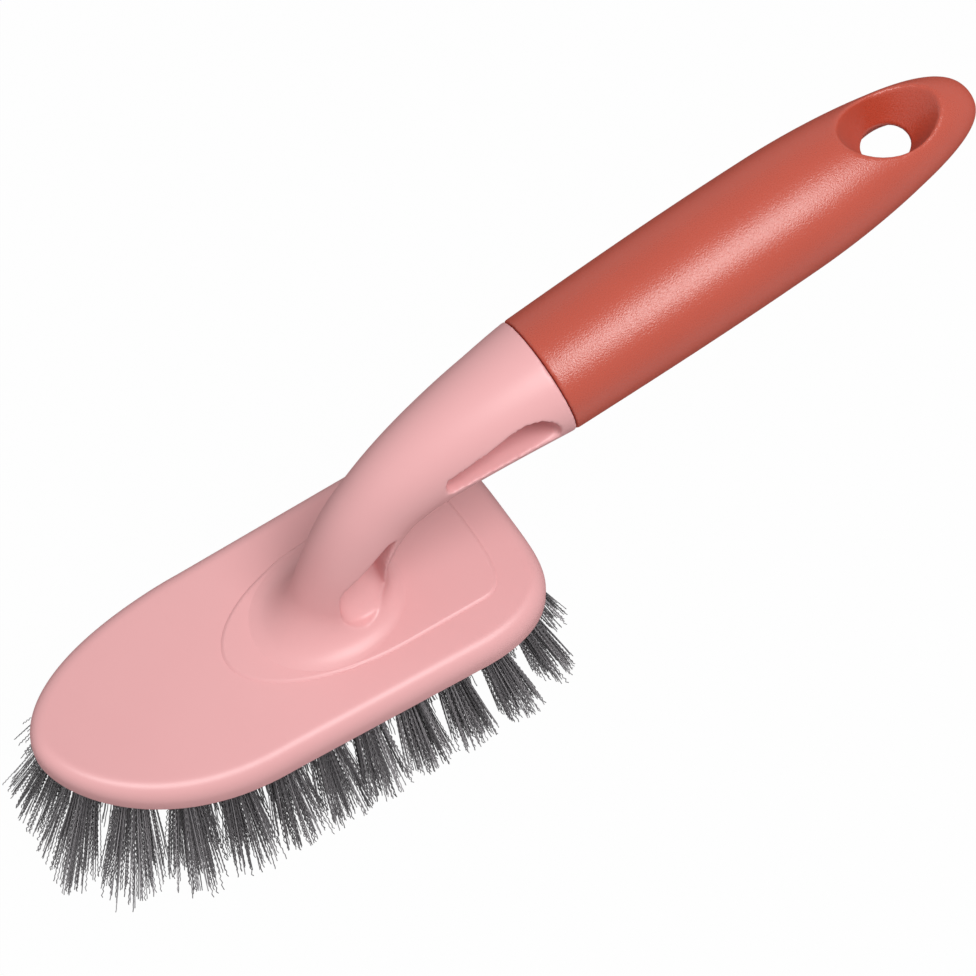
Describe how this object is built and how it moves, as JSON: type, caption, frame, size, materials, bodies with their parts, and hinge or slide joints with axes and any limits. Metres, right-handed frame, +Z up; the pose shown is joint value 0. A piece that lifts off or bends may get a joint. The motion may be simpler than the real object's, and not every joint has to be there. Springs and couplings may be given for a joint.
{
  "type": "cleaning brush",
  "caption": "Hand-held scrubbing brush: oval head with an upturned nose and drilled bristle tufts, an arched neck and a raised handle grip with a dished hanging hole.",
  "frame": {"origin": "on the ground under the middle of the brush's length and width, with the bristle tips on the ground", "axes": "+X from the nose of the head to the end of the handle, +Y across the brush, +Z up"},
  "size_m": [0.2886, 0.083, 0.1246],
  "materials": {
    "head_plastic": "smooth satin moulded polypropylene, pale pink",
    "grip_rubber": "fine-grained satin soft-touch sleeve, terracotta red",
    "bristle_fibre": "thin crimped synthetic filaments, dark grey with a light sheen"
  },
  "bodies": {
    "root": {"brush_head": "head_plastic", "grip": "grip_rubber", "bristle_tuft_01": "bristle_fibre", "bristle_tuft_02": "bristle_fibre", "bristle_tuft_03": "bristle_fibre", "bristle_tuft_04": "bristle_fibre", "bristle_tuft_05": "bristle_fibre", "bristle_tuft_06": "bristle_fibre", "bristle_tuft_07": "bristle_fibre", "bristle_tuft_08": "bristle_fibre", "bristle_tuft_09": "bristle_fibre", "bristle_tuft_10": "bristle_fibre", "bristle_tuft_11": "bristle_fibre", "bristle_tuft_12": "bristle_fibre", "bristle_tuft_13": "bristle_fibre", "bristle_tuft_14": "bristle_fibre", "bristle_tuft_15": "bristle_fibre", "bristle_tuft_16": "bristle_fibre", "bristle_tuft_17": "bristle_fibre", "bristle_tuft_18": "bristle_fibre", "bristle_tuft_19": "bristle_fibre", "bristle_tuft_20": "bristle_fibre", "bristle_tuft_21": "bristle_fibre", "bristle_tuft_22": "bristle_fibre", "bristle_tuft_23": "bristle_fibre", "bristle_tuft_24": "bristle_fibre", "bristle_tuft_25": "bristle_fibre", "bristle_tuft_26": "bristle_fibre", "bristle_tuft_27": "bristle_fibre", "bristle_tuft_28": "bristle_fibre", "bristle_tuft_29": "bristle_fibre", "bristle_tuft_30": "bristle_fibre", "bristle_tuft_31": "bristle_fibre", "bristle_tuft_32": "bristle_fibre", "bristle_tuft_33": "bristle_fibre", "bristle_tuft_34": "bristle_fibre", "bristle_tuft_35": "bristle_fibre", "bristle_tuft_36": "bristle_fibre", "bristle_tuft_37": "bristle_fibre", "bristle_tuft_38": "bristle_fibre", "bristle_tuft_39": "bristle_fibre", "bristle_tuft_40": "bristle_fibre", "bristle_tuft_41": "bristle_fibre", "bristle_tuft_42": "bristle_fibre", "bristle_tuft_43": "bristle_fibre", "bristle_tuft_44": "bristle_fibre", "bristle_tuft_45": "bristle_fibre", "bristle_tuft_46": "bristle_fibre", "bristle_tuft_47": "bristle_fibre", "bristle_tuft_48": "bristle_fibre", "bristle_tuft_49": "bristle_fibre"}
  },
  "joints": []
}
